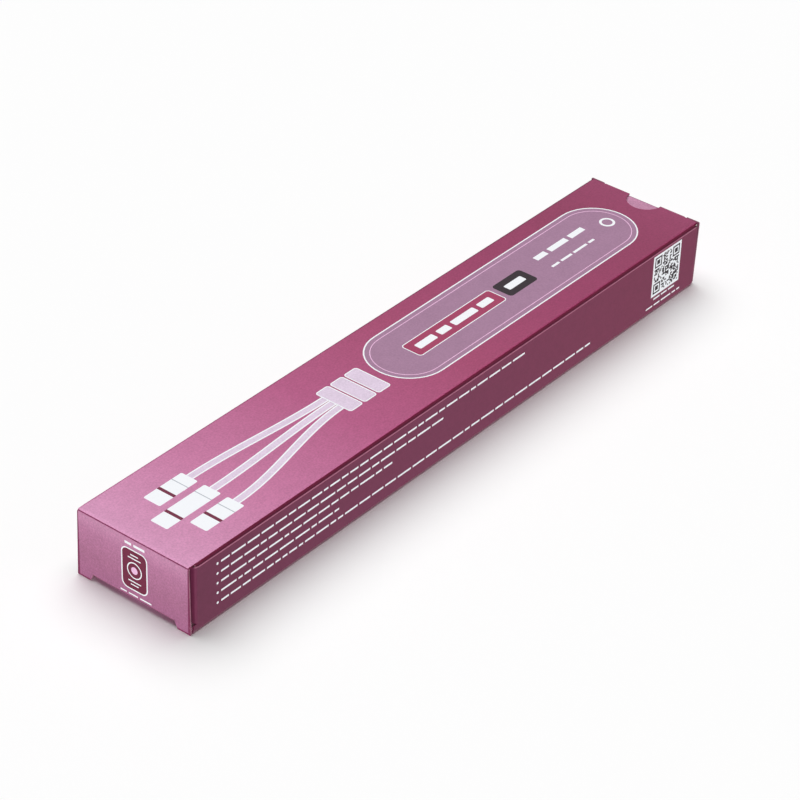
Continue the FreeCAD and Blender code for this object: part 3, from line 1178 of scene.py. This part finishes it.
@dataclass(frozen=True)
class Lamp:
    """A far lamp with a wide disc, so that its shadows are soft."""

    name: str
    level: float
    source: Point3
    degrees: float

    def build(self) -> Object:
        """Make the lamp.

        Returns:
            The lamp, turned so that its light comes from the source.
        """
        data = bpy.data.lights.new(self.name, "SUN")
        data.energy = self.level
        data.angle = math.radians(self.degrees)
        lamp = place_in_scene(self.name, data)
        lamp.rotation_euler = Vector(self.source).to_track_quat("Z", "Y").to_euler()
        return lamp


@dataclass
class Studio:
    """White floor, soft light and the camera."""

    target: Vector
    azimuth: float = -52.2283
    elevation: float = 34.1640
    distance: float = 1.00031
    pan: float = 0.168
    tilt: float = 0.260
    roll: float = 2.1215
    lens: float = 138.774
    sky_level: float = 0.1
    key: Lamp = Lamp("key_lamp", 2.96, (0.2, 0.28, 0.94), 70.0)
    fill: Lamp = Lamp("fill_lamp", 3.0, (-0.7, -0.6, 0.05), 16.0)
    floor_bounce: float = 0.8
    floor_size: float = 6.0

    def build(self) -> None:
        """Make the camera, the floor and the light."""
        scene = bpy.context.scene
        scene.view_settings.view_transform = "Standard"
        scene.camera = self.build_camera()
        self.build_light(self.build_floor())

    def build_camera(self) -> Object:
        """The camera, looking along the length from the front end's seam side.

        Returns:
            The camera object.
        """
        turn, rise = math.radians(self.azimuth), math.radians(self.elevation)
        back = Vector((math.sin(turn) * math.cos(rise), -math.cos(turn) * math.cos(rise),
                       math.sin(rise)))
        right = (-back).cross(Vector((0, 0, 1))).normalized()
        up = right.cross(-back)
        turned = Matrix((right, -up, -back))
        for degrees, axis in ((self.pan, "Y"), (self.tilt, "X"), (self.roll, "Z")):
            turned = Matrix.Rotation(math.radians(degrees), 3, axis) @ turned
        axes = Matrix((turned[0], -turned[1], -turned[2])).transposed()
        data = bpy.data.cameras.new("camera")
        data.lens = self.lens
        data.sensor_width = 36.0
        data.clip_start, data.clip_end = 0.01, 20.0
        camera = place_in_scene("camera", data)
        place = self.target + back * self.distance
        camera.matrix_world = Matrix.Translation(place) @ axes.to_4x4()
        return camera

    def build_floor(self) -> Object:
        """A wide floor, white with soft shadows to the camera, and to the carton an even glow that
        stands in for bounce light.

        Returns:
            The floor.
        """
        half = self.floor_size / 2
        data = bpy.data.meshes.new("floor")
        data.from_pydata([(-half, -half, 0), (half, -half, 0), (half, half, 0), (-half, half, 0)],
                         [], [(0, 1, 2, 3)])
        floor = place_in_scene("floor", data)
        material = bpy.data.materials.new("floor_white")
        shader = shader_of(material)
        seen = shader.add("ShaderNodeLightPath").outputs["Is Camera Ray"]
        matt = shader.out("ShaderNodeBsdfDiffuse", ((1, 1, 1, 1),))
        bounce = shader.out("ShaderNodeEmission", ((1, 1, 1, 1), self.floor_bounce))
        either = shader.out("ShaderNodeMixShader", (seen, bounce, matt))
        shader.add("ShaderNodeOutputMaterial", (either,))
        cover(data, material)
        return floor

    def build_light(self, floor: Object) -> None:
        """A faint white sky, a wide lamp from behind and a low front one for the carton alone.

        Args:
            floor: The floor, which the front lamp leaves out.
        """
        world = bpy.data.worlds.new("sky")
        bpy.context.scene.world = world
        shader = shader_of(world)
        seen = shader.add("ShaderNodeLightPath").outputs["Is Camera Ray"]
        level = shader.spread(seen, 0.0, 1.0, self.sky_level, 1.0)
        sky = shader.out("ShaderNodeBackground", ((1, 1, 1, 1), level))
        shader.add("ShaderNodeOutputWorld", (sky,))
        self.key.build()
        fill = self.fill.build()
        left_out = bpy.data.collections.new("left_out_of_fill")
        left_out.objects.link(floor)
        left_out.collection_objects[0].light_linking.link_state = "EXCLUDE"
        fill.light_linking.receiver_collection = left_out


# ---- main ----


def main() -> None:
    """Load the frame, dress the board, print the figures and set the studio."""
    logging.basicConfig(level=logging.INFO, format="%(name)s: %(message)s")
    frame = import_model()
    nodes = frame["nodes"]
    sleeve_low, sleeve_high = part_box("carton_sleeve")
    front_low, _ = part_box("front_closure_flap")
    _, rear_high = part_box("rear_closure_flap")
    low = Vector((front_low[0], *sleeve_low[1:]))
    high = Vector((rear_high[0], *sleeve_high[1:]))

    groups = Groups()
    board = FoldedBoard(low, high, groups)
    board.dress(nodes["carton_sleeve"], end=False)
    board.dress(nodes["front_closure_flap"], end=True)
    board.dress(nodes["rear_closure_flap"], end=True)
    glue = PaperInk("dried_glue", (228, 222, 200), 0.3).build(groups)
    cover(nodes["seam_glue"].data, glue)

    CornerTabs(low, high, board.finishes[BoardFace.FLOOD]).build()

    inks = {ink: ink.value.build(groups) for ink in Ink}
    bars, modules = bar_tree(), module_tree()
    along_x, along_y, along_z = Matrix.Identity(3)
    near_corner, far_corner = Vector((low.x, low.y, high.z)), Vector((low.x, high.y, high.z))
    top = Sheet(far_corner, along_x, -along_y, "sleeve")
    side = Sheet(near_corner, along_x, -along_z, "sleeve")
    end = Sheet(far_corner, -along_y, -along_z, "front_closure")
    TopPrint(top, inks, bars).build()
    SidePrint(side, inks, bars, modules).build()
    EndPrint(end, inks, bars).build()
    Studio(Vector((0, 0, high.z / 2))).build()


if __name__ == "__main__":
    main()
